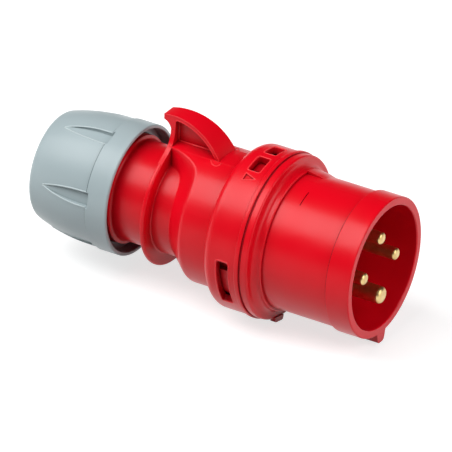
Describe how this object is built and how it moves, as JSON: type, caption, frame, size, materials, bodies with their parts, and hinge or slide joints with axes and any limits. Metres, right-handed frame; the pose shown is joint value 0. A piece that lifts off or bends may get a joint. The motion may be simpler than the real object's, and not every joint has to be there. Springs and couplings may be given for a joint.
{
  "type": "industrial pin and sleeve plug",
  "caption": "Straight industrial pin and sleeve plug with a red collared sleeve, bayonet rear housing, hooked grip fin and a grey cable gland nut.",
  "frame": {"origin": "on the plug's axis, in the plane of the flange's front face, up to which the sleeve enters a socket", "axes": "+X along the axis out of the mouth, +Z towards the grip fin, key and earth pin at -Z"},
  "size_m": [0.1473, 0.067, 0.073],
  "materials": {
    "red_plastic": "satin gloss moulded",
    "grey_plastic": "satin gloss moulded",
    "black_rubber": "matt",
    "black_plastic": "matt",
    "carrier_plastic": "matt moulded",
    "brass": "turned and polished",
    "steel": "zinc plated"
  },
  "bodies": {
    "front": {"front_sleeve": "red_plastic", "housing_seal": "black_rubber", "contact_carrier": "carrier_plastic", "carrier_retainer": "carrier_plastic", "carrier_screw_1": "steel", "carrier_screw_2": "steel", "pin_phase_1": "brass", "pin_phase_2": "brass", "pin_phase_3": "brass", "pin_earth": "brass", "terminal_screw_1": "steel", "terminal_screw_2": "steel", "terminal_screw_3": "steel", "terminal_screw_4": "steel", "terminal_plate_1": "steel", "terminal_plate_2": "steel", "terminal_plate_3": "steel", "terminal_plate_4": "steel"},
    "rear": {"rear_housing": "red_plastic", "cable_seal": "black_rubber"},
    "clamp": {"clamp_cage": "black_plastic", "slip_ring": "black_plastic"},
    "nut": {"gland_nut": "grey_plastic"}
  },
  "joints": [
    {"name": "housing_twist", "type": "hinge", "parent": "front", "child": "rear", "pos_m": [-0.01, 0, 0], "axis": [1, 0, 0], "range_deg": [-27, 0]},
    {"name": "clamp_travel", "type": "slide", "parent": "rear", "child": "clamp", "axis": [1, 0, 0], "range_m": [-0.009, 0.003]},
    {"name": "nut_turn", "type": "hinge", "parent": "clamp", "child": "nut", "pos_m": [-0.08, 0, 0], "axis": [1, 0, 0], "range_deg": [-1080, 360]}
  ],
  "couplings": [
    {"joint": "clamp_travel", "follows": "nut_turn", "m_per_rad": 0.000477}
  ]
}
